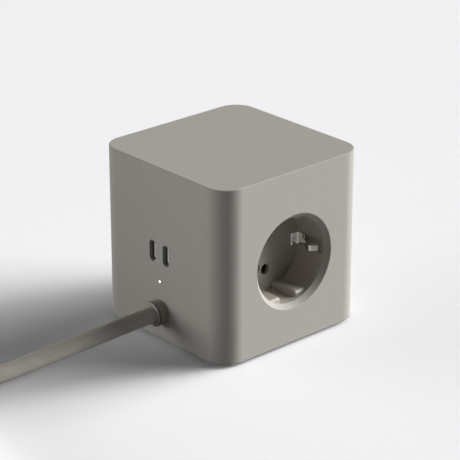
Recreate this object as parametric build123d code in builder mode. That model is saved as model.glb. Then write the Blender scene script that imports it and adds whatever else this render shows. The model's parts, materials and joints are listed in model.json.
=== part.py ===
from math import cos, pi, radians, sin, sqrt, tan
import os

from build123d import *

# A cube with three mains sockets and two USB ports on a textile covered cord, in millimetres.
# The origin is on the floor under the middle of the cube, with +Z up.
# -Y is a socket face, and -X is the face with the ports and the cord.

# Cube
cube_side = 80.0
cube_top = 80.0  # above the floor
foot_height = 1.5  # the walls end this far above the floor
corner_radius = 10.0
edge_round = 0.4
wall = 2.2
top_wall = 2.4
fit = 0.2  # clearance between moulded pieces

# Sockets
socket_height = 38.8
pin_spacing = 19.0
pin_hole_radius = 2.5
rim_radius = 21.5
well_radius = 19.5
floor_thickness = 1.8
insert_wall = 1.3
insert_back_round = 2.0
corner_share = 0.8  # how far the rounded backs of two wells run past each other
flange_radius = 23.5
flange_thickness = 1.6
register_wall = 1.6
rib_flat = 16.6  # from the middle of the well to the flat of a guide rib
rib_depth = 4.0  # from the face to the front of a guide rib
rib_round = 1.3
key_half_width = 4.0
slot_half_height = 3.0
slot_reach = 20.2  # from the middle of the well to the back of a clip's slot
slot_front = 3.0

# Earth clips, as distances from the middle of the well and depths from the face
clip_thickness = 0.6
clip_foot_half_width = 2.8
clip_tongue_half_width = 1.25
clip_step = 15.5  # where the strap steps up through the well's floor
clip_wall = 19.2
clip_foot_rise = 3.2  # from the floor to the top of the foot
clip_peak = (14.1, 6.2)
clip_tip = (17.4, 4.3)
clip_step_bend = 0.8
clip_foot_bend = 1.2
clip_peak_bend = 2.0

# Pin contacts
contact_bore_radius = 2.4
contact_radius = 3.0
contact_length = 15.0
contact_slit = 1.2
contact_pad_width = 4.0
contact_pad_height = 3.8  # from the pin's axis
collar_wall = 1.2
collar_length = 2.5

# Bars that join the contacts
bar_thickness = 0.8
bar_width = 5.0
live_arm = 18.2
earth_arm = 14.2
neutral_arm = 10.5

# Base
plate_thickness = 2.5
pad_inset = 4.0
pad_corner_radius = 7.0
boss_radius = 3.6
boss_merge = 0.4  # how far a screw boss runs into the corner behind it
screw_radius = 1.5
screw_head_radius = 2.6
screw_length = 12.0

# Charging side
entry_shift = 0.95  # ports, lamp and cord stand this far behind the middle of their face
port_height = 41.0
port_spacing = 8.6
port_slot_long = 9.7
port_slot_short = 4.2
port_long = 9.0
port_short = 3.3
port_setback = 0.4
port_wall = 0.3
tongue_thickness = 0.7
tongue_setback = 1.0
tongue_margin = 0.8
lamp_height = 27.85
lamp_radius = 0.5
board_depth = 9.5  # from the face to the front of the circuit board
board_thickness = 1.6
board_width = 46.0
board_low = 23.0
board_high = 72.0
rail_width = 4.0
rail_inset = 3.0
board_screw_radius = 1.1
board_screw_head = 2.1
board_screw_length = 6.0
board_screw_inset = 4.0
led_thickness = 1.0
led_side = 2.4
transformer_gap = 1.5  # above the live bar
transformer_size = (16.0, 12.0, 12.0)
transformer_core_band = 6.0
transformer_core_rise = 1.5
capacitor_radius = 4.0
capacitor_length = 11.0
capacitor_spacing = 26.0
capacitor_height = 34.0

# Cord entry
gland_height = 13.9
gland_radius = 5.7
gland_length = 5.0
gland_neck_radius = 5.2
gland_flange_radius = 7.5
gland_flange_thickness = 1.8
gland_lip_radius = 3.9
gland_recess = 1.5
gland_stub_radius = 4.6
gland_stub_end = 14.0  # from the face to the inner end of the stub
clamp_depth = 9.0  # from the face to the middle of the clamp
clamp_length = 6.0
clamp_width = 25.0
clamp_gap = 2.0
clamp_thickness = 5.0
clamp_screw_spacing = 17.0
clamp_screw_length = 13.0
wire_radius = 1.2
wire_bend = 4.0
core_offset = 1.9
lead_radius = 0.6

# Cord, as points chosen along the way it lies
cord_radius = 3.7
cord_rest = 3.75  # from the floor to the middle of the cord that lies on it
cord_straight = 14.5  # from the gland to the first bend
cord_bends = [
    (-76.0, 2.82, 11.97),
    (-94.0, 6.4, 9.58),
    (-112.0, 10.76, 6.13),
    (-130.0, 16.18, cord_rest),
]
coil_centre = (-198.0, -8.5)
coil_layers = 3
coil_turns_across = 2
coil_mean_radius = 42.5
coil_slack = 0.3  # looseness between the turns and the shape round them
coil_entry = 70.24  # degrees round the coil from +X
coil_exit = 130.0
plug_cord_turn = 12.0  # degrees of the coil's last turn that the plug's cord follows
plug_cord_run = 30.0  # from the coil's last turn to the boot

# Plug at the cord's far end
plug_radius = 18.4
plug_flat = 16.1
plug_key_half_width = 3.5
plug_front_length = 18.0
plug_grip_radius = 14.0
plug_grip_length = 18.0
plug_round = 3.0
plug_pin_radius = 2.4
plug_pin_length = 19.0
plug_pin_tip = 1.6
plug_contact_width = 5.0
plug_contact_thickness = 1.0
plug_contact_length = 14.0
boot_length = 16.0
boot_radius = 6.4
boot_end_radius = 4.8
boot_ring_gap = 3.2
boot_ring_depth = 0.7

# Worked out from the sizes above
half_side = cube_side / 2
plate_top = foot_height + plate_thickness
inner_radius = corner_radius - wall
boss_place = half_side - corner_radius + (inner_radius - boss_radius + boss_merge) / sqrt(2)
insert_radius = well_radius + insert_wall
insert_depth = half_side - insert_radius + corner_share
well_depth = insert_depth - floor_thickness
slot_inner = clip_step - clip_step_bend
pin_height = pin_spacing / 2
bar_reach = half_side - insert_depth - collar_length - fit
strap_depth = insert_depth + clip_thickness / 2
live_level = socket_height + pin_height + contact_pad_height
neutral_level = socket_height - pin_height - contact_pad_height - bar_thickness
earth_level = socket_height - bar_thickness / 2
board_back = board_depth + board_thickness
board_middle = (board_low + board_high) / 2
board_height = board_high - board_low
transformer_height = live_level + bar_thickness + transformer_gap + transformer_size[1] / 2 + transformer_core_rise
cord_diameter = 2 * cord_radius

os.makedirs("parts", exist_ok=True)


def write_step(piece, name):
    piece.part.label = name
    export_step(piece.part, f"parts/{name}.step")


def face_plane(x, y, height, aside=0.0):
    """The plane of a side wall's outer face, seen from outside, its Y axis upwards."""
    outward = Vector(x, y, 0)
    across = Vector(-y, x, 0)
    return Plane(
        origin=outward * half_side + across * aside + Vector(0, 0, height),
        x_dir=across,
        z_dir=outward,
    )


socket_faces = {
    "front": face_plane(0, -1, socket_height),
    "right": face_plane(1, 0, socket_height),
    "back": face_plane(0, 1, socket_height),
}
port_face = face_plane(-1, 0, port_height, -entry_shift)
board_face = face_plane(-1, 0, board_middle)
lamp_face = face_plane(-1, 0, lamp_height, -entry_shift)
gland_face = face_plane(-1, 0, gland_height, -entry_shift)
boss_corners = [(x * boss_place, y * boss_place) for x in (-1, 1) for y in (-1, 1)]
rail_places = [(side * (board_width / 2 - rail_inset), 0) for side in (-1, 1)]
board_screw_places = [
    (x, side * (board_height / 2 - board_screw_inset)) for x, _ in rail_places for side in (-1, 1)
]


# Housing, one moulding of four walls and the top
with BuildPart() as housing:
    with BuildSketch(Plane.XY.offset(foot_height)):
        RectangleRounded(cube_side, cube_side, corner_radius)
    extrude(amount=cube_top - foot_height)
    fillet(housing.faces().sort_by(Axis.Z)[-1].edges(), edge_round)
    fillet(housing.faces().sort_by(Axis.Z)[0].edges(), edge_round / 2)
    with BuildSketch(Plane.XY.offset(foot_height)):
        RectangleRounded(cube_side - 2 * wall, cube_side - 2 * wall, inner_radius)
    extrude(amount=cube_top - top_wall - foot_height, mode=Mode.SUBTRACT)
    # screw bosses in the corners
    with BuildSketch(Plane.XY.offset(plate_top)):
        with Locations(boss_corners):
            Circle(boss_radius)
    extrude(amount=cube_top - top_wall - plate_top)
    with BuildSketch(Plane.XY.offset(plate_top)):
        with Locations(boss_corners):
            Circle(screw_radius)
    extrude(amount=screw_length, mode=Mode.SUBTRACT)
    # a register ring behind each socket, and its countersunk hole
    for face in socket_faces.values():
        with BuildSketch(face.offset(-wall)):
            Circle(flange_radius + fit + register_wall)
            Circle(flange_radius + fit, mode=Mode.SUBTRACT)
        extrude(amount=-flange_thickness)
        with BuildSketch(face):
            Circle(rim_radius)
        with BuildSketch(face.offset(-wall)):
            Circle(well_radius)
        loft(mode=Mode.SUBTRACT)
    # rails that carry the circuit board
    with BuildSketch(board_face.offset(-wall)):
        with Locations(rail_places):
            Rectangle(rail_width, board_height)
    extrude(amount=wall - board_depth)
    with BuildSketch(board_face.offset(-board_depth)):
        with Locations(board_screw_places):
            Circle(board_screw_radius)
    extrude(amount=board_screw_length - board_thickness, mode=Mode.SUBTRACT)
    # slots for the ports, and the holes of the lamp and the cord
    with BuildSketch(port_face):
        with GridLocations(port_spacing, 1, 2, 1):
            SlotOverall(port_slot_long, port_slot_short, rotation=90)
    extrude(amount=-wall, mode=Mode.SUBTRACT)
    with BuildSketch(lamp_face):
        Circle(lamp_radius)
    extrude(amount=-wall, mode=Mode.SUBTRACT)
    with BuildSketch(gland_face):
        Circle(gland_neck_radius)
    extrude(amount=-wall, mode=Mode.SUBTRACT)
write_step(housing, "housing")


# Base plate, with the saddle that carries the cord's end
saddle_place = (-half_side + clamp_depth, entry_shift)
clamp_screw_places = [
    (saddle_place[0], entry_shift + side * clamp_screw_spacing / 2) for side in (-1, 1)
]
saddle_top = gland_height - clamp_gap / 2
with BuildPart() as base_plate:
    with BuildSketch(Plane.XY.offset(foot_height)):
        plate_side = cube_side - 2 * (wall + fit)
        RectangleRounded(plate_side, plate_side, inner_radius - fit)
    extrude(amount=plate_thickness)
    with BuildSketch(Plane.XY.offset(plate_top)):
        with Locations(saddle_place):
            Rectangle(clamp_length, clamp_width)
    extrude(amount=saddle_top - plate_top)
    with BuildSketch(gland_face):
        Circle(gland_stub_radius)
    extrude(amount=-gland_stub_end, mode=Mode.SUBTRACT)
    with BuildSketch(Plane.XY.offset(saddle_top)):
        with Locations(clamp_screw_places):
            Circle(screw_radius)
    clamp_top = gland_height + clamp_gap / 2 + clamp_thickness
    extrude(amount=clamp_top - clamp_screw_length - saddle_top, mode=Mode.SUBTRACT)
    # countersunk holes at the corners
    with BuildSketch(Plane.XY.offset(foot_height)):
        with Locations(boss_corners):
            Circle(screw_radius)
    extrude(amount=plate_thickness, mode=Mode.SUBTRACT)
    for corner in boss_corners:
        with BuildSketch(Plane.XY.offset(foot_height)):
            with Locations(corner):
                Circle(screw_head_radius)
        with BuildSketch(Plane.XY.offset(foot_height + screw_head_radius - screw_radius)):
            with Locations(corner):
                Circle(screw_radius)
        loft(mode=Mode.SUBTRACT)
write_step(base_plate, "base_plate")


# Countersunk screws from the base plate up into the bosses
with BuildPart() as base_screws:
    for corner in boss_corners:
        with BuildSketch(Plane.XY.offset(foot_height)):
            with Locations(corner):
                Circle(screw_head_radius)
        with BuildSketch(Plane.XY.offset(foot_height + screw_head_radius - screw_radius)):
            with Locations(corner):
                Circle(screw_radius)
        loft()
        with BuildSketch(Plane.XY.offset(foot_height)):
            with Locations(corner):
                Circle(screw_radius)
        extrude(amount=screw_length)
write_step(base_screws, "base_screws")


# Rubber pad glued under the base plate
with BuildPart() as foot_pad:
    with BuildSketch(Plane.XY):
        pad_side = cube_side - 2 * pad_inset
        RectangleRounded(pad_side, pad_side, pad_corner_radius)
    extrude(amount=foot_height)
write_step(foot_pad, "foot_pad")


def make_insert(face):
    """A socket's well: cup, flange, guide ribs, pin holes and the slots of the earth clips."""
    with BuildPart() as insert:
        with BuildSketch(face.offset(-wall)):
            Circle(insert_radius)
        extrude(amount=wall - insert_depth)
        fillet(insert.edges().filter_by(GeomType.CIRCLE).sort_by(Axis(face.origin, face.z_dir))[0], insert_back_round)
        with BuildSketch(face.offset(-wall)):
            Circle(flange_radius)
        extrude(amount=-flange_thickness)
        with BuildSketch(face.offset(-wall)):
            Circle(well_radius)
        extrude(amount=wall - well_depth, mode=Mode.SUBTRACT)
        # two guide ribs, each split by a keyway
        with BuildSketch(face.offset(-rib_depth)):
            Circle(well_radius + insert_wall / 2)
            Rectangle(2 * insert_radius, 2 * rib_flat, mode=Mode.SUBTRACT)
            Rectangle(2 * key_half_width, 2 * insert_radius, mode=Mode.SUBTRACT)
        extrude(amount=rib_depth - well_depth)
        outward = Axis(face.origin, face.z_dir)
        across = Axis(face.origin, face.x_dir)
        beside_keyways = insert.edges().filter_by(Axis.Z).sort_by(outward)[-4:]
        fillet(beside_keyways, rib_round)
        inner = insert.edges().filter_by(across).sort_by(outward)[-4:]
        fillet(inner, rib_round)
        # pin holes through the floor, with collars behind for the contacts
        with BuildSketch(face.offset(-insert_depth)):
            with GridLocations(1, pin_spacing, 1, 2):
                Circle(contact_radius + fit + collar_wall)
                Circle(contact_radius + fit, mode=Mode.SUBTRACT)
        extrude(amount=-collar_length)
        with BuildSketch(face.offset(-well_depth)):
            with GridLocations(1, pin_spacing, 1, 2):
                Circle(pin_hole_radius)
        extrude(amount=-floor_thickness, mode=Mode.SUBTRACT)
        # slots for the earth clips, in the wall and through the floor
        for side in (-1, 1):
            with BuildSketch(face.offset(-slot_front)):
                with Locations((side * (slot_reach + slot_inner) / 2, 0)):
                    Rectangle(slot_reach - slot_inner, 2 * slot_half_height)
            extrude(amount=slot_front - insert_depth, mode=Mode.SUBTRACT)
    return insert


def make_earth_clip(face):
    """One bent strip: a strap behind the well's floor and a sprung clip at each end of it."""
    ledge = well_depth + clip_thickness / 3
    foot_top = well_depth - clip_foot_rise
    foot = [(clip_step, strap_depth), (clip_step, ledge), (clip_wall, ledge)]
    foot_bends = [clip_step_bend, clip_step_bend, clip_foot_bend]
    tongue = [(clip_wall, foot_top), clip_peak, clip_tip]
    tongue_bends = foot_bends + [clip_foot_bend, clip_peak_bend]
    plan = Plane(origin=face.origin, x_dir=face.x_dir, z_dir=(0, 0, 1))
    strips = (
        (foot + [(clip_wall, foot_top - 1)], foot_bends, clip_foot_half_width),
        (foot + tongue, tongue_bends, clip_tongue_half_width),
    )
    with BuildPart() as clip:
        for points, bends, half_width in strips:
            both = [(-x, depth) for x, depth in reversed(points)] + points
            with BuildSketch(plan.offset(-half_width)):
                with BuildLine():
                    FilletPolyline(*both, radius=bends[::-1] + bends)
                    offset(amount=clip_thickness / 2, side=Side.BOTH)
                make_face()
            extrude(amount=2 * half_width)
    return clip


def make_contact(face, pole):
    """A slit sleeve that grips a pin, with a flat pad on the side of its bar."""
    with BuildPart() as contact:
        with BuildSketch(face.offset(-insert_depth)):
            with Locations((0, pole * pin_height)):
                Circle(contact_radius)
        extrude(amount=-contact_length)
        with BuildSketch(face.offset(-insert_depth - collar_length - fit)):
            with Locations((0, pole * (pin_height + contact_pad_height / 2))):
                Rectangle(contact_pad_width, contact_pad_height)
        extrude(amount=collar_length + fit - contact_length)
        with BuildSketch(face.offset(-insert_depth)):
            with Locations((0, pole * pin_height)):
                Circle(contact_bore_radius)
            with Locations((0, pole * (pin_height - contact_radius))):
                Rectangle(contact_slit, 2 * contact_radius - 2 * contact_slit)
        extrude(amount=-contact_length, mode=Mode.SUBTRACT)
    return contact


for side, face in socket_faces.items():
    write_step(make_insert(face), f"socket_insert_{side}")
    write_step(make_earth_clip(face), f"earth_clip_{side}")
    write_step(make_contact(face, 1), f"live_contact_{side}")
    write_step(make_contact(face, -1), f"neutral_contact_{side}")


def make_bar(level, reach, arm):
    """A flat cross that joins the three contacts of one pole, with an arm for its wire."""
    with BuildPart() as bar:
        with BuildSketch(Plane.XY.offset(level)):
            Rectangle(bar_width, 2 * reach)
            with Locations(((reach - arm) / 2, 0)):
                Rectangle(reach + arm, bar_width)
        extrude(amount=bar_thickness)
    return bar


write_step(make_bar(live_level, bar_reach, live_arm), "live_bar")
write_step(make_bar(neutral_level, bar_reach, neutral_arm), "neutral_bar")


# Earth bar, with an upright tab against each strap
earth_reach = half_side - insert_depth - clip_thickness
with BuildPart() as earth_bar:
    with BuildSketch(Plane.XY.offset(earth_level)):
        Rectangle(bar_width, 2 * earth_reach)
        with Locations(((earth_reach - earth_arm) / 2, 0)):
            Rectangle(earth_reach + earth_arm, bar_width)
    extrude(amount=bar_thickness)
    for face in socket_faces.values():
        with BuildSketch(face.offset(earth_reach - half_side)):
            Rectangle(bar_width, 2 * clip_foot_half_width)
        extrude(amount=-bar_thickness)
write_step(earth_bar, "earth_bar")


# Circuit board, its screws and what stands on it
with BuildPart() as usb_board:
    with BuildSketch(board_face.offset(-board_depth)):
        RectangleRounded(board_width, board_height, 1.5)
        with Locations(board_screw_places):
            Circle(board_screw_radius, mode=Mode.SUBTRACT)
    extrude(amount=-board_thickness)
write_step(usb_board, "usb_board")

with BuildPart() as board_screws:
    with BuildSketch(board_face.offset(-board_back)):
        with Locations(board_screw_places):
            Circle(board_screw_head)
    extrude(amount=-board_screw_head / 2)
    fillet(board_screws.faces().sort_by(Axis.X)[-4:].edges(), board_screw_head / 4)
    with BuildSketch(board_face.offset(-board_back)):
        with Locations(board_screw_places):
            Circle(board_screw_radius)
    extrude(amount=board_screw_length)
write_step(board_screws, "board_screws")


def make_port(place):
    """A folded metal shell, open to the front, that stands on the circuit board."""
    with BuildPart() as port:
        with BuildSketch(port_face.offset(-port_setback)):
            with Locations((place, 0)):
                SlotOverall(port_long, port_short, rotation=90)
        extrude(amount=port_setback - board_depth)
        with BuildSketch(port_face.offset(-port_setback)):
            with Locations((place, 0)):
                SlotOverall(port_long - 2 * port_wall, port_short - 2 * port_wall, rotation=90)
        extrude(amount=port_setback - board_depth + 2 * port_wall, mode=Mode.SUBTRACT)
    return port


def make_tongue(place):
    """The plastic blade with the contacts, in the middle of a port."""
    tongue_height = port_long - 2 * port_wall - 2 * tongue_margin
    with BuildPart() as tongue:
        with BuildSketch(port_face.offset(-port_setback - tongue_setback)):
            with Locations((place, 0)):
                Rectangle(tongue_thickness, tongue_height)
        extrude(amount=port_setback + tongue_setback - board_depth + 2 * port_wall)
    return tongue


for side, place in (("front", port_spacing / 2), ("back", -port_spacing / 2)):
    write_step(make_port(place), f"usb_port_{side}")
    write_step(make_tongue(place), f"usb_tongue_{side}")

with BuildPart() as indicator_led:
    with BuildSketch(lamp_face.offset(-board_depth)):
        Rectangle(led_side, led_side)
    extrude(amount=led_thickness)
write_step(indicator_led, "indicator_led")

with BuildPart() as light_pipe:
    with BuildSketch(lamp_face):
        Circle(lamp_radius)
    extrude(amount=led_thickness - board_depth)
    with BuildSketch(lamp_face.offset(-wall)):
        Circle(2 * lamp_radius)
    extrude(amount=-wall / 2)
write_step(light_pipe, "light_pipe")

with BuildPart() as transformer:
    transformer_face = face_plane(-1, 0, transformer_height)
    with BuildSketch(transformer_face.offset(-board_back)):
        Rectangle(transformer_size[0], transformer_size[1])
    extrude(amount=-transformer_size[2])
    with BuildSketch(transformer_face.offset(-board_back)):
        Rectangle(transformer_core_band, transformer_size[1] + 2 * transformer_core_rise)
    extrude(amount=-transformer_size[2])
write_step(transformer, "transformer")

with BuildPart() as capacitors:
    capacitor_face = face_plane(-1, 0, capacitor_height)
    with BuildSketch(capacitor_face.offset(-board_back)):
        with GridLocations(capacitor_spacing, 1, 2, 1):
            Circle(capacitor_radius)
    extrude(amount=-capacitor_length)
    fillet(capacitors.faces().sort_by(Axis.X)[-2:].edges(), capacitor_radius / 8)
write_step(capacitors, "capacitors")


# Gland moulded on the cord, with a stub for the clamp
gland_axis = Plane(origin=gland_face.origin, x_dir=gland_face.z_dir, z_dir=(0, 1, 0))
with BuildPart() as cord_gland:
    with BuildSketch(gland_axis):
        with BuildLine():
            Polyline(
                (-gland_stub_end, 0),
                (-gland_stub_end, gland_stub_radius),
                (-wall - gland_flange_thickness, gland_stub_radius),
                (-wall - gland_flange_thickness, gland_flange_radius),
                (-wall, gland_flange_radius),
                (-wall, gland_neck_radius),
                (0, gland_neck_radius),
                (0, gland_radius),
                (gland_length, gland_radius),
                (gland_length, gland_lip_radius),
                (gland_length - gland_recess, gland_lip_radius),
                (gland_length - gland_recess, 0),
                close=True,
            )
        make_face()
    revolve(axis=Axis(gland_face.origin, gland_face.z_dir))
    rim = cord_gland.edges().filter_by(GeomType.CIRCLE).sort_by(Axis.X)[:2]
    fillet(rim.sort_by(SortBy.RADIUS)[-1], (gland_radius - gland_lip_radius) * 0.6)
write_step(cord_gland, "cord_gland")


# Clamp bar over the stub, and its screws
with BuildPart() as cord_clamp:
    with BuildSketch(Plane.XY.offset(clamp_top - clamp_thickness)):
        with Locations(saddle_place):
            RectangleRounded(clamp_length, clamp_width, 1.0)
    extrude(amount=clamp_thickness)
    with BuildSketch(gland_face):
        Circle(gland_stub_radius)
    extrude(amount=-gland_stub_end, mode=Mode.SUBTRACT)
    with BuildSketch(Plane.XY.offset(clamp_top)):
        with Locations(clamp_screw_places):
            Circle(screw_radius)
    extrude(amount=-clamp_thickness, mode=Mode.SUBTRACT)
write_step(cord_clamp, "cord_clamp")

with BuildPart() as clamp_screws:
    with BuildSketch(Plane.XY.offset(clamp_top)):
        with Locations(clamp_screw_places):
            Circle(screw_head_radius)
    extrude(amount=screw_head_radius / 2)
    fillet(clamp_screws.faces().sort_by(Axis.Z)[-2:].edges(), screw_head_radius / 4)
    with BuildSketch(Plane.XY.offset(clamp_top)):
        with Locations(clamp_screw_places):
            Circle(screw_radius)
    extrude(amount=-clamp_screw_length)
write_step(clamp_screws, "clamp_screws")


def write_tube(name, points, radius, bends, cut=None):
    """A round tube along straight runs joined by arcs, cut back where it meets a coil."""
    with BuildPart() as tube:
        with BuildLine():
            FilletPolyline(*points, radius=bends)
        with BuildSketch(Plane(origin=points[0], z_dir=Vector(points[1]) - Vector(points[0]))):
            Circle(radius)
        sweep()
        if cut:
            add(cut, mode=Mode.SUBTRACT)
    write_step(tube, name)
    return tube


# Inner wires, from the end of the stub to the arm of each bar
stub_end = -half_side + gland_stub_end
upper_core = gland_height + core_offset + fit
lower_core = gland_height - core_offset / 2 - fit
live_x = -live_arm + wire_radius
earth_x = -earth_arm + wire_radius
neutral_x = -neutral_arm + wire_radius
wire_paths = {
    "live_wire": [(stub_end, 0, upper_core), (live_x, 0, upper_core), (live_x, 0, live_level)],
    "neutral_wire": [
        (stub_end, core_offset, lower_core),
        (neutral_x, core_offset, lower_core),
        (neutral_x, core_offset, neutral_level),
    ],
    "earth_wire": [
        (stub_end, -core_offset, lower_core),
        (earth_x, -core_offset, lower_core),
        (earth_x, -core_offset, earth_level),
    ],
}
for name, points in wire_paths.items():
    write_tube(name, points, wire_radius, wire_bend)

# Thin leads from the arms to the circuit board
with BuildPart() as board_leads:
    lead_plane = face_plane(-1, 0, 0).offset(-board_back)
    live_lead_height = live_level + bar_thickness / 2
    with BuildSketch(lead_plane):
        with Locations((-core_offset, live_lead_height)):
            Circle(lead_radius)
    extrude(amount=-(half_side - board_back - live_arm))
    neutral_lead_height = neutral_level + bar_thickness / 2
    with BuildSketch(lead_plane):
        with Locations((-core_offset, neutral_lead_height)):
            Circle(lead_radius)
    extrude(amount=-(half_side - board_back - neutral_arm))
write_step(board_leads, "board_leads")


# Outer shape of the coil that the cord is wound into
coil_half_width = coil_turns_across * cord_radius + coil_slack
coil_height = coil_layers * cord_diameter + coil_slack
with BuildPart() as cord_coil:
    with BuildSketch(Plane(origin=(*coil_centre, 0), x_dir=(1, 0, 0), z_dir=(0, -1, 0))):
        with Locations((coil_mean_radius, coil_height / 2)):
            RectangleRounded(2 * coil_half_width, coil_height, cord_radius)
    revolve(axis=Axis((*coil_centre, 0), (0, 0, 1)))
write_step(cord_coil, "cord_coil")


def bend_radii(points):
    """The largest arc that the runs on both sides of each point leave room for."""
    radii = []
    for before, here, after in zip(points, points[1:], points[2:]):
        run_in = Vector(here) - Vector(before)
        run_out = Vector(after) - Vector(here)
        half_turn = radians(run_in.get_angle(run_out)) / 2
        radii.append(0.45 * min(run_in.length, run_out.length) / tan(half_turn))
    return radii


def coil_point(angle, radius, height):
    """A point beside the middle of the coil, by its angle from +X."""
    turned = radians(angle)
    return (coil_centre[0] + radius * cos(turned), coil_centre[1] + radius * sin(turned), height)


# The cord joins and leaves the coil along its outer turn
outer_turn = coil_mean_radius + cord_radius
cord_start = -half_side - gland_length + gland_recess
cord_points = [
    (cord_start, entry_shift, gland_height),
    (cord_start - cord_straight, entry_shift, gland_height),
    *cord_bends,
    coil_point(coil_entry, outer_turn, cord_rest),
]
exit_heading = Vector(-sin(radians(coil_exit)), cos(radians(coil_exit)), 0)
half_turn = plug_cord_turn / 2
plug_height = plug_radius
plug_cord_points = [
    coil_point(coil_exit - plug_cord_turn, outer_turn, plug_height),
    coil_point(coil_exit - half_turn, outer_turn / cos(radians(half_turn)), plug_height),
    tuple(Vector(*coil_point(coil_exit, outer_turn, plug_height)) + exit_heading * plug_cord_run),
]
for name, points in (("cord", cord_points), ("plug_cord", plug_cord_points)):
    radii = bend_radii(points)
    tube = write_tube(name, points, cord_radius, radii, cut=cord_coil.part)
    print(name, "radii", [round(r) for r in radii], "volume", round(tube.part.volume))
    runs = sum((Vector(b) - Vector(a)).length for a, b in zip(points, points[1:]))
    print(name, "about", round(runs), "mm, section times length", round(pi * cord_radius**2 * runs))


# Plug, lying at the cord's end with its pins away from it
boot_start = Vector(plug_cord_points[-1])
plug_direction = exit_heading
plug_length = boot_length + plug_grip_length + plug_front_length
plug_face = Plane(
    origin=boot_start + plug_direction * plug_length,
    x_dir=Vector(-plug_direction.Y, plug_direction.X, 0),
    z_dir=plug_direction,
)
plug_profile = Plane(origin=plug_face.origin, x_dir=plug_face.z_dir, z_dir=plug_face.x_dir)

with BuildPart() as plug_body:
    with BuildSketch(plug_face):
        Circle(plug_radius)
        Rectangle(2 * plug_radius, 2 * plug_flat, mode=Mode.INTERSECT)
        Rectangle(2 * plug_key_half_width, 2 * plug_radius - 0.4)
    extrude(amount=-plug_front_length)
    with BuildSketch(plug_profile):
        with BuildLine():
            front = (-plug_front_length, plug_flat)
            back = (-plug_front_length - plug_grip_length, plug_grip_radius)
            Polyline(back, (back[0], 0), (front[0], 0), front)
            ThreePointArc(front, (front[0] - plug_grip_length / 2, plug_grip_radius - 0.6), back)
        make_face()
    revolve(axis=Axis(plug_face.origin, plug_face.z_dir))
    rear = plug_body.faces().sort_by(Axis(plug_face.origin, plug_face.z_dir))[0]
    fillet(rear.edges(), plug_round)
    # recesses for the earth contacts, and the hole for an earth pin
    for side in (-1, 1):
        with BuildSketch(plug_face):
            with Locations((side * (plug_radius - plug_contact_thickness / 2), 0)):
                Rectangle(plug_contact_thickness, plug_contact_width)
        extrude(amount=-plug_contact_length, mode=Mode.SUBTRACT)
write_step(plug_body, "plug_body")

with BuildPart() as plug_contacts:
    for side in (-1, 1):
        with BuildSketch(plug_face):
            with Locations((side * (plug_radius - plug_contact_thickness * 0.75), 0)):
                Rectangle(plug_contact_thickness / 2, plug_contact_width)
        extrude(amount=-plug_contact_length)
write_step(plug_contacts, "plug_contacts")

with BuildPart() as plug_pins:
    with BuildSketch(plug_face):
        with GridLocations(1, pin_spacing, 1, 2):
            Circle(plug_pin_radius)
    extrude(amount=plug_pin_length)
    tips = plug_pins.faces().sort_by(Axis(plug_face.origin, plug_face.z_dir))[-2:]
    fillet(tips.edges(), plug_pin_tip)
write_step(plug_pins, "plug_pins")

with BuildPart() as plug_boot:
    boot_front = -plug_front_length - plug_grip_length
    with BuildSketch(plug_profile):
        with BuildLine():
            Polyline(
                (boot_front, 0),
                (boot_front, boot_radius),
                (boot_front - boot_length, boot_end_radius),
                (boot_front - boot_length, 0),
                close=True,
            )
        make_face()
    revolve(axis=Axis(plug_face.origin, plug_face.z_dir))
write_step(plug_boot, "plug_boot")
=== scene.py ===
import json
import math
import bpy
import numpy as np
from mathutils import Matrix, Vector


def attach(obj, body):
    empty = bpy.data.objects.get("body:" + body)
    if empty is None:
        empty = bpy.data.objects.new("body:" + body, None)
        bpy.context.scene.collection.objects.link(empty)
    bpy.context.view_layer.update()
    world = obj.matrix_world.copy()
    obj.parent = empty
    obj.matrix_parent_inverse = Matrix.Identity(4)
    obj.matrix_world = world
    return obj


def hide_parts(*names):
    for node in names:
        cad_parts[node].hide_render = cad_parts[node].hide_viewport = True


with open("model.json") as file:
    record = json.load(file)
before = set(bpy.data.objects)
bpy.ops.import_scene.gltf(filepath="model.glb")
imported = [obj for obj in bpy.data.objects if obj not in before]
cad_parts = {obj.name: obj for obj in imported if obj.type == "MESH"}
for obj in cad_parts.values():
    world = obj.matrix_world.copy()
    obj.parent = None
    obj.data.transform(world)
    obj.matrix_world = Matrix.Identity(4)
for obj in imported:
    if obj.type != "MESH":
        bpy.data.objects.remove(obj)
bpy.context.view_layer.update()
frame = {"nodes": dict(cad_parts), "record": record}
nodes = frame["nodes"]
print("frame loaded:", len(nodes), "nodes")


# camera, standing where the photograph was taken from
camera = {
    "azimuth": -41.903,  # degrees, 0 looks along +Y
    "elevation": 22.998,
    "distance": 0.878,
    "target": (0, 0, 0.04),
    "focalLength": 158.06,  # mm
    "sensor": 36,  # mm wide
    "shift": (-0.00254, 0.00315),  # shares of the picture's width
    "reach": (0.01, 50),  # nearest and furthest that it sees
}


def makeCamera(c):
    a, e = math.radians(c["azimuth"]), math.radians(c["elevation"])
    back = Vector((math.sin(a) * math.cos(e), -math.cos(a) * math.cos(e), math.sin(e)))
    lens = bpy.data.cameras.new("camera")
    lens.lens, lens.sensor_width = c["focalLength"], c["sensor"]
    lens.shift_x, lens.shift_y = c["shift"]
    lens.clip_start, lens.clip_end = c["reach"]
    eye = bpy.data.objects.new("camera", lens)
    bpy.context.scene.collection.objects.link(eye)
    eye.location = Vector(c["target"]) + back * c["distance"]
    eye.rotation_euler = back.to_track_quat("Z", "Y").to_euler()
    bpy.context.scene.camera = eye


makeCamera(camera)
print("camera made")


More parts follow.
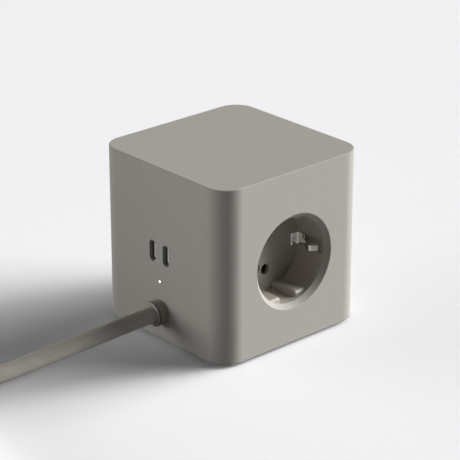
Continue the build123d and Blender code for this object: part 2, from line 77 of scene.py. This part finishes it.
# shader maths: an expression on values adds its Math nodes
class Value:
    def __init__(self, tree, socket):
        self.tree, self.socket = tree, socket

    def math(self, operation, *others):
        return self.tree.mathNode(operation, self, *others)

    def __add__(self, other): return self.math("ADD", other)
    def __radd__(self, other): return self.math("ADD", other)
    def __sub__(self, other): return self.math("SUBTRACT", other)
    def __rsub__(self, other): return self.tree.mathNode("SUBTRACT", other, self)
    def __mul__(self, other): return self.math("MULTIPLY", other)
    def __rmul__(self, other): return self.math("MULTIPLY", other)
    def __truediv__(self, other): return self.math("DIVIDE", other)
    def __rtruediv__(self, other): return self.tree.mathNode("DIVIDE", other, self)

    def fraction(self): return self.math("FRACT")
    def absolute(self): return self.math("ABSOLUTE")
    def floor(self): return self.math("FLOOR")
    def sine(self): return self.math("SINE")
    def atMost(self, limit): return self.math("MINIMUM", limit)
    def above(self, limit): return self.math("GREATER_THAN", limit)
    def below(self, limit): return self.math("LESS_THAN", limit)


# a colour with its alpha, darker or lighter by a factor
def rgba(colour, lighter=1.0):
    return (*(min(1.0, c * lighter) for c in colour), 1)


# the nodes of a material or of the world
class NodeTree:
    def __init__(self, owner):
        self.owner = owner
        owner.use_nodes = True
        owner.node_tree.nodes.clear()

    # any node: its settings first, then the values or links of its sockets
    def node(self, kind, settings=None, inputs=None, output=0):
        made = self.owner.node_tree.nodes.new(kind)
        for key, value in (settings or {}).items():
            setattr(made, key, value)
        for key, value in (inputs or {}).items():
            if isinstance(value, Value):
                self.owner.node_tree.links.new(value.socket, made.inputs[key])
            else:
                made.inputs[key].default_value = value
        return None if output is None else Value(self, made.outputs[output])

    def mathNode(self, operation, *values):
        return self.node("ShaderNodeMath", {"operation": operation}, dict(enumerate(values)))

    # the Mix node's colour sockets have numbers, because its other kinds share their names
    def mixColour(self, factor, first, second):
        return self.node("ShaderNodeMix", {"data_type": "RGBA"}, {0: factor, 6: first, 7: second}, 2)

    # one colour, from its darkest tone to its lightest as the factor goes from 0 to 1
    def tones(self, factor, colour, darkest, lightest):
        return self.mixColour(factor, rgba(colour, darkest), rgba(colour, lightest))

    # what kind of ray meets the surface, as 0 or 1
    def ray(self, kind):
        return self.node("ShaderNodeLightPath", None, None, kind)


class Material(NodeTree):
    def __init__(self, name):
        super().__init__(bpy.data.materials.new(name))

    def objectPlace(self):
        return self.node("ShaderNodeTexCoord", None, None, "Object")

    # X, Y or Z of a place
    def part(self, axis, place):
        return self.node("ShaderNodeSeparateXYZ", None, {"Vector": place}, axis)

    def noise(self, place, scale, detail=2.0):
        return self.node("ShaderNodeTexNoise", None, {"Vector": place, "Scale": scale, "Detail": detail})

    def bump(self, height, distance):
        return self.node("ShaderNodeBump", None, {"Height": height, "Distance": distance})

    # the whole finish, by the names of the shader's sockets with _ for a space
    def surface(self, **inputs):
        named = {key.replace("_", " "): value for key, value in inputs.items()}
        shader = self.node("ShaderNodeBsdfPrincipled", None, named)
        self.node("ShaderNodeOutputMaterial", None, {"Surface": shader}, None)
        return self.owner


# moulded plastic: a fine even grain, with a very slight drift of tone
everyPlastic = {
    "roughness": 0.45,
    "roughnessSpread": 0.08,
    "shine": 0.3,
    "grain": 0.00030,  # metres from grain to grain
    "depth": 0.00001,
    "driftScale": 18.0,
    "driftTones": (0.97, 1.03),
}
plastics = {
    "shell": {
        "colour": (0.357, 0.343, 0.315),
        "roughness": 0.72,
        "shine": 0.15,
        "grain": 0.00022,
        "depth": 0.00002,
    },
    # the insert is of the shell's plastic; this copy is tinted warmer as painted bounce light in the
    # shade of its well
    "well": {
        "colour": (0.366, 0.341, 0.300),
        "roughness": 0.40,
        "shine": 0.5,
        "grain": 0.00022,
        "depth": 0.00002,
    },
    "gland": {"colour": (0.300, 0.290, 0.266), "roughness": 0.50, "depth": 0.00002},
    "port": {"colour": (0.165, 0.161, 0.152), "roughness": 0.60, "shine": 0.2},
    "tongue": {"colour": (0.930, 0.915, 0.880)},
    "foot": {"colour": (0.030, 0.030, 0.030), "roughness": 0.80, "grain": 0.00060, "depth": 0.00006},
    "tape": {"colour": (0.550, 0.380, 0.040), "roughness": 0.35, "grain": 0.00080, "depth": 0.00002},
    "brown": {"colour": (0.080, 0.030, 0.012), "grain": 0.00050},
    "blue": {"colour": (0.020, 0.080, 0.330), "grain": 0.00050},
}


def mouldedPlastic(name, own):
    p = {**everyPlastic, **own}
    m = Material(name)
    place = m.objectPlace()
    grain = m.noise(place, 1 / p["grain"])
    drift = m.noise(place, p["driftScale"], detail=3.0)
    return m.surface(
        Base_Color=m.tones(drift, p["colour"], *p["driftTones"]),
        Roughness=p["roughness"] + p["roughnessSpread"] * (grain - 0.5),
        Specular_IOR_Level=p["shine"],
        Normal=m.bump(grain, p["depth"]),
    )


# collar round the cord: fine rings moulded round its side, a groove shown only as a dark band of painted
# shade, and a smooth lip
collar = {
    "colour": (0.440, 0.407, 0.345),
    "sideTones": (0.70, 1.25),
    # the groove's painted shade, as a share of the collar's colour
    "grooveShadeTone": 0.28,
    "lip": (0.310, 0.295, 0.268),
    "roughness": 0.6,
    "shine": 0.3,
    "grooveBefore": -0.0441,  # X at which the groove and the lip start
    "lipBefore": -0.0446,
    "ringGap": 0.00045,
    "ringDepth": 0.00012,
    "grainScale": 2600.0,
}


def ringedCollar(name, p):
    m = Material(name)
    x = m.part("X", m.objectPlace())
    lip = x.below(p["lipBefore"])
    groove = x.below(p["grooveBefore"]) * (1 - lip)
    rings = (x * (2 * math.pi / p["ringGap"])).sine() * (1 - lip)
    grain = m.noise(m.objectPlace(), p["grainScale"])
    side = m.tones(grain, p["colour"], *p["sideTones"])
    # the groove is painted dark as shade, not cut into the collar
    grooveShaded = m.mixColour(groove, side, rgba(p["colour"], p["grooveShadeTone"]))
    return m.surface(
        Base_Color=m.mixColour(lip, grooveShaded, rgba(p["lip"])),
        Roughness=p["roughness"],
        Specular_IOR_Level=p["shine"],
        Normal=m.bump(rings + grain, p["ringDepth"]),
    )


# bare metal: streaks along one axis, and patches that differ a little in tone
everyMetal = {
    "roughnessSpread": 0.10,
    "streakDepth": 0.000008,
    "patchScale": 160,
    "patchTones": (0.94, 1.05),
}
metals = {
    "plated": {"colour": (0.80, 0.79, 0.76), "roughness": 0.24, "streakScale": (900, 900, 5200)},
    "brass": {"colour": (0.42, 0.32, 0.17), "roughness": 0.40, "streakScale": (900, 900, 4200)},
    "can": {"colour": (0.62, 0.63, 0.66), "roughness": 0.30, "streakScale": (300, 2600, 2600)},
    # the earth clips' patches are small and differ much in tone: painted reflections, glints and dark
    # mottles on the metal
    "clip": {
        "colour": (0.700, 0.690, 0.660),
        "roughness": 0.18,
        "streakScale": (900, 900, 5200),
        "patchScale": 900,
        "patchTones": (0.55, 1.35),
    },
}


def bareMetal(name, own):
    p = {**everyMetal, **own}
    m = Material(name)
    stretched = m.node("ShaderNodeMapping", None, {"Vector": m.objectPlace(), "Scale": p["streakScale"]})
    streaks = m.noise(stretched, 1.0, detail=3.0)
    patches = m.noise(m.objectPlace(), p["patchScale"])
    return m.surface(
        Base_Color=m.tones(patches, p["colour"], *p["patchTones"]),
        Metallic=1.0,
        Roughness=p["roughness"] + p["roughnessSpread"] * (streaks - 0.5),
        Normal=m.bump(streaks, p["streakDepth"]),
    )


# the protective wire: green, with a yellow stripe along it
insulation = {
    "green": (0.10, 0.32, 0.02),
    "yellow": (0.75, 0.60, 0.02),
    "roughness": 0.45,
    "stripeAt": -0.0019,  # Y of the stripe's middle
    "stripeHalf": 0.0005,
}


def stripedInsulation(name, p):
    m = Material(name)
    stripe = (m.part("Y", m.objectPlace()) - p["stripeAt"]).absolute().below(p["stripeHalf"])
    colour = m.mixColour(stripe, rgba(p["green"]), rgba(p["yellow"]))
    return m.surface(Base_Color=colour, Roughness=p["roughness"])


# circuit board: solder resist over tracks that run both ways
solderResist = {
    "colour": (0.008, 0.060, 0.022),
    "overTracks": (0.020, 0.120, 0.045),
    "roughness": 0.35,
    "relief": 0.00003,
    # tracks to a metre, and the share of each gap that a track fills
    "upTracks": (420.0, 0.25),
    "acrossTracks": (300.0, 0.2),
}


def tracksBy(m, axis, perMetre, share):
    return (m.part(axis, m.objectPlace()) * perMetre).fraction().below(share)


def circuitBoard(name, p):
    m = Material(name)
    tracks = (tracksBy(m, "Z", *p["upTracks"]) + tracksBy(m, "Y", *p["acrossTracks"])).atMost(1.0)
    return m.surface(
        Base_Color=m.mixColour(tracks, rgba(p["colour"]), rgba(p["overTracks"])),
        Roughness=p["roughness"],
        Normal=m.bump(tracks, p["relief"]),
    )


# the lamp's light pipe, glowing white at its face
lamp = {
    "colour": (0.8, 0.8, 0.78),
    "roughness": 0.25,
    "glow": (1.0, 1.0, 0.97),
    "strength": 2.5,
    "glowsBefore": -0.0395,  # X, just inside the cube's face
}


def glowingPipe(name, p):
    m = Material(name)
    face = m.part("X", m.objectPlace()).below(p["glowsBefore"])
    return m.surface(
        Base_Color=rgba(p["colour"]),
        Roughness=p["roughness"],
        Emission_Color=m.mixColour(face, rgba((0, 0, 0)), rgba(p["glow"])),
        Emission_Strength=p["strength"],
    )


finishes = {name: mouldedPlastic(name, p) for name, p in plastics.items()}
finishes.update({name: bareMetal(name, p) for name, p in metals.items()})
finishes["collar"] = ringedCollar("collar", collar)
finishes["green"] = stripedInsulation("green", insulation)
finishes["board"] = circuitBoard("board", solderResist)
finishes["clear"] = glowingPipe("clear", lamp)
print("finishes made:", len(finishes))


# cord: the route's points as they lie, and its coil worked out turn by turn, in metres
cord = {
    "diameter": 0.0075,
    "length": 1.55,
    "points": [
        (-0.0435, 0.00095, 0.0139),
        (-0.0580, 0.00095, 0.0139),
        (-0.0760, 0.00282, 0.01197),
        (-0.0940, 0.00640, 0.00958),
        (-0.1120, 0.01076, 0.00613),
        (-0.1300, 0.01618, 0.00375),
        (-0.1479, 0.02260, 0.00375),
        (-0.1620, 0.02767, 0.00375),
        (-0.1733, 0.03172, 0.00375),
    ],
    "plugPoints": [
        (-0.2345, 0.0212, 0.0184),
        (-0.2420, 0.0149, 0.0184),
        (-0.2507, 0.0076, 0.0184),
    ],
    "coilCentre": (-0.198, -0.0085),
    "coilRadius": 0.0466,
    "coilHeight": 0.00375,
    "coilStart": 70.24,  # degrees, from +X towards +Y
    "coilEnd": 1930,
    "coilStep": 15,
    # where each step to another track starts and ends, and how far it goes out and up
    "coilMoves": [
        (345, 430, -0.0074, 0),
        (692, 756, 0, 0.00745),
        (1018, 1103, 0.0074, 0),
        (1369, 1425, 0, 0.00745),
        (1463, 1547, -0.0074, 0),
        (1796, 1860, 0, 0.00745),
        (1823, 1907, 0.0074, 0),
        (1870, 1926, 0, -0.00745),
    ],
    "fineness": 16,  # steps of the smooth line from point to point
    "ringGap": 0.0011,
    "sides": 28,
}


# turns of the coil: radius and height by angle, with each step to another track eased in and out
def coilPoints(c):
    count = round((c["coilEnd"] - c["coilStart"]) / c["coilStep"]) + 1
    angle = np.linspace(c["coilStart"], c["coilEnd"], count)
    radius = np.full(count, c["coilRadius"])
    height = np.full(count, c["coilHeight"])
    for start, end, out, up in c["coilMoves"]:
        into = np.clip((angle - start) / (end - start), 0, 1)
        ease = into * into * (3 - 2 * into)
        radius += out * ease
        height += up * ease
    a = np.radians(angle)
    x = c["coilCentre"][0] + radius * np.cos(a)
    y = c["coilCentre"][1] + radius * np.sin(a)
    return list(zip(x, y, height))


# one smooth line with the given points as its control points
def smoothLine(points, fineness):
    curve = bpy.data.curves.new("cordRoute", "CURVE")
    curve.dimensions, curve.resolution_u = "3D", fineness
    spline = curve.splines.new("NURBS")
    spline.points.add(len(points) - 1)
    spline.points.foreach_set("co", np.array([(*p, 1) for p in points], float).ravel())
    spline.order_u, spline.use_endpoint_u = 3, True
    holder = bpy.data.objects.new("cordRoute", curve)
    read = bpy.data.meshes.new_from_object(holder)
    line = np.zeros(len(read.vertices) * 3)
    read.vertices.foreach_get("co", line)
    bpy.data.meshes.remove(read)
    bpy.data.objects.remove(holder)
    return line.reshape(-1, 3)


# the line's points again, about one gap apart, and how far along it each one is
def evenly(line, gap):
    along = np.concatenate([[0], np.cumsum(np.linalg.norm(np.diff(line, axis=0), axis=1))])
    at = np.linspace(0, along[-1], int(along[-1] / gap) + 1)
    return np.stack([np.interp(at, along, line[:, k]) for k in range(3)], axis=1), at


# two directions across the line, one level and one square to it; the cord never runs straight up
def acrossLine(line):
    ahead = np.gradient(line, axis=0)
    ahead /= np.linalg.norm(ahead, axis=1)[:, None]
    side = np.cross(ahead, (0.0, 0.0, 1.0))
    side /= np.linalg.norm(side, axis=1)[:, None]
    return side, np.cross(side, ahead)


# a tube by angle and distance along: the line's point, plus the radius times the level direction
# by the angle's cosine and the other one by its sine; its UV map has turns round and metres along
def tubeMesh(name, line, along, radius, sides):
    level, other = acrossLine(line)
    a = np.linspace(0, 2 * math.pi, sides, endpoint=False)[:, None]
    rings = line[:, None] + radius * (np.cos(a) * level[:, None] + np.sin(a) * other[:, None])
    last = len(line) - 1
    i, j = np.meshgrid(np.arange(last), np.arange(sides), indexing="ij")
    near, far, k = i * sides, (i + 1) * sides, (j + 1) % sides
    quads = np.stack([near + j, near + k, far + k, far + j], axis=-1).reshape(-1, 4)
    startCap, endCap = list(range(sides))[::-1], [last * sides + n for n in range(sides)]
    mesh = bpy.data.meshes.new(name)
    mesh.from_pydata(rings.reshape(-1, 3).tolist(), [], quads.tolist() + [startCap, endCap])
    turn = np.stack([j, j + 1, j + 1, j], axis=-1) / sides
    ahead = np.stack([along[i], along[i], along[i + 1], along[i + 1]], axis=-1)
    uv = np.concatenate([np.stack([turn, ahead], axis=-1).reshape(-1, 2), np.zeros((2 * sides, 2))])
    layer = mesh.uv_layers.new(name="weave")
    layer.data.foreach_set("uv", uv.ravel())
    mesh.polygons.foreach_set("use_smooth", [True] * len(quads) + [False] * 2)
    mesh.update()
    made = bpy.data.objects.new(name, mesh)
    bpy.context.scene.collection.objects.link(made)
    return made


# braid: threads that cross at a slant both ways, over and under in turn
textile = {
    "colour": (0.790, 0.748, 0.682),
    # shade: the colour of the painted shade between the threads
    "shade": (0.410, 0.388, 0.352),
    "threadsRound": 18,  # slanted threads each way round the cord
    "pitch": 0.0125,  # how far along a thread goes in half a turn round
    "roughness": 0.85,
    "shine": 0.1,
    "relief": 0.00018,
    "fibreScale": 3800.0,
    "fibreRelief": 0.25,  # as a share of a thread's height
    "toneScale": 220.0,
    "crownShare": 0.55,  # how much each lightens the shade
    "fibreShare": 0.30,
    "toneShare": 0.25,
}


def braided(name, t):
    m = Material(name)
    weave = m.node("ShaderNodeUVMap", {"uv_map": "weave"})
    u, v = m.part("X", weave), m.part("Y", weave)
    turns = v / (t["pitch"] * 2)
    left = (u + turns) * t["threadsRound"]
    right = (u - turns) * t["threadsRound"]
    # which way is on top: the crossing's row and column together, odd or even
    over = ((left.floor() + right.floor()) * 0.5).fraction().above(0.25)
    across = over * left.fraction() + (1 - over) * right.fraction()
    # each thread is painted lighter along its crown and darker at its edges, as painted light and shade
    # of the braid; the crown is also the bump's height
    crown = 1 - (across * 2 - 1).absolute()
    fibre = m.noise(m.objectPlace(), t["fibreScale"])
    tone = m.noise(m.objectPlace(), t["toneScale"])
    light = crown * t["crownShare"] + t["fibreShare"] * fibre + t["toneShare"] * tone
    return m.surface(
        Base_Color=m.mixColour(light.atMost(1.0), rgba(t["shade"]), rgba(t["colour"])),
        Roughness=t["roughness"],
        Specular_IOR_Level=t["shine"],
        Normal=m.bump(crown + t["fibreRelief"] * fibre, t["relief"]),
    )


def makeCord(c):
    points = c["points"] + coilPoints(c) + c["plugPoints"]
    line, along = evenly(smoothLine(points, c["fineness"]), c["ringGap"])
    flex = tubeMesh("textileCord", line, along, c["diameter"] / 2, c["sides"])
    flex.data.materials.append(braided("textile", textile))
    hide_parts("cord", "plug_cord", "cord_coil")
    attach(flex, "root")
    return float(along[-1])


print("cord made:", round(makeCord(cord), 3), "m")


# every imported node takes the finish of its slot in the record, but for a few with a finish of their own
ownFinish = {
    "cord_gland": "collar",
    "usb_port_front": "port",
    "usb_port_back": "port",
    "usb_tongue_front": "tongue",
    "usb_tongue_back": "tongue",
    "earth_clip_front": "clip",
    "earth_clip_right": "clip",
    "earth_clip_back": "clip",
}
slotOf = {entry["node"]: entry["material_slot"] for entry in frame["record"]["subparts"]}
for name, node in nodes.items():
    finish = ownFinish.get(name, slotOf[name])
    node.data.materials.clear()
    # the solids that the textile cord hides take the shell's finish
    node.data.materials.append(finishes.get(finish, finishes["shell"]))
print("finishes put on")


# floor, in one pale tone right out of view, which throws back less light than the camera sees
floor = {
    "half": 6.0,
    "colour": (0.892, 0.892, 0.914),
    "thrownBack": 0.375,
    "roughness": 0.9,
    "shine": 0.1,
}


def makeFloor(f):
    mesh = bpy.data.meshes.new("floor")
    h = f["half"]
    mesh.from_pydata([(-h, -h, 0), (h, -h, 0), (h, h, 0), (-h, h, 0)], [], [(0, 1, 2, 3)])
    made = bpy.data.objects.new("floor", mesh)
    bpy.context.scene.collection.objects.link(made)
    m = Material("floor")
    colour = m.tones(m.ray("Is Camera Ray"), f["colour"], f["thrownBack"], 1.0)
    made.data.materials.append(m.surface(
        Base_Color=colour,
        Roughness=f["roughness"],
        Specular_IOR_Level=f["shine"],
    ))


makeFloor(floor)
print("floor made")


# suns: a soft key in three parts from the right, and two wide fills from low behind on the left
suns = {
    "key": {"from": (1.30, -0.87, 0.78), "strength": 2.55, "spread": 34, "colour": (1.0, 0.995, 0.985)},
    "side": {"from": (1.50, -0.45, 0.80), "strength": 2.78, "spread": 34, "colour": (1.0, 0.998, 0.99)},
    "level": {"from": (1.30, -0.70, 0.03), "strength": 3.50, "spread": 30, "colour": (1.0, 0.995, 0.985)},
    "fill": {"from": (-0.62, 0.74, -0.06), "strength": 3.30, "spread": 66, "colour": (1.0, 0.995, 0.99)},
    "wide": {"from": (-0.95, 0.26, 0.00), "strength": 0.90, "spread": 64, "colour": (1.0, 0.985, 0.98)},
}
# what lies all round: hardly any light of its own, but a pale room to mirror and to see
around = {
    "light": (0.004, 0.004, 0.004),
    "mirrored": (0.20, 0.20, 0.20),
    "seen": (0.80, 0.80, 0.81),
}


def makeSun(name, s):
    sun = bpy.data.lights.new(name, "SUN")
    sun.energy, sun.angle, sun.color = s["strength"], math.radians(s["spread"]), s["colour"]
    made = bpy.data.objects.new(name, sun)
    bpy.context.scene.collection.objects.link(made)
    made.rotation_euler = Vector(s["from"]).to_track_quat("Z", "Y").to_euler()


def makeSky(s):
    sky = NodeTree(bpy.data.worlds.new("sky"))
    bpy.context.scene.world = sky.owner
    colour = rgba(s["light"])
    colour = sky.mixColour(sky.ray("Is Glossy Ray"), colour, rgba(s["mirrored"]))
    colour = sky.mixColour(sky.ray("Is Transmission Ray"), colour, rgba(s["seen"]))
    colour = sky.mixColour(sky.ray("Is Camera Ray"), colour, rgba(s["seen"]))
    shader = sky.node("ShaderNodeBackground", None, {"Color": colour})
    sky.node("ShaderNodeOutputWorld", None, {"Surface": shader}, None)


for name, sun in suns.items():
    makeSun(name, sun)
makeSky(around)
bpy.context.scene.view_settings.view_transform = "Standard"
print("light made")
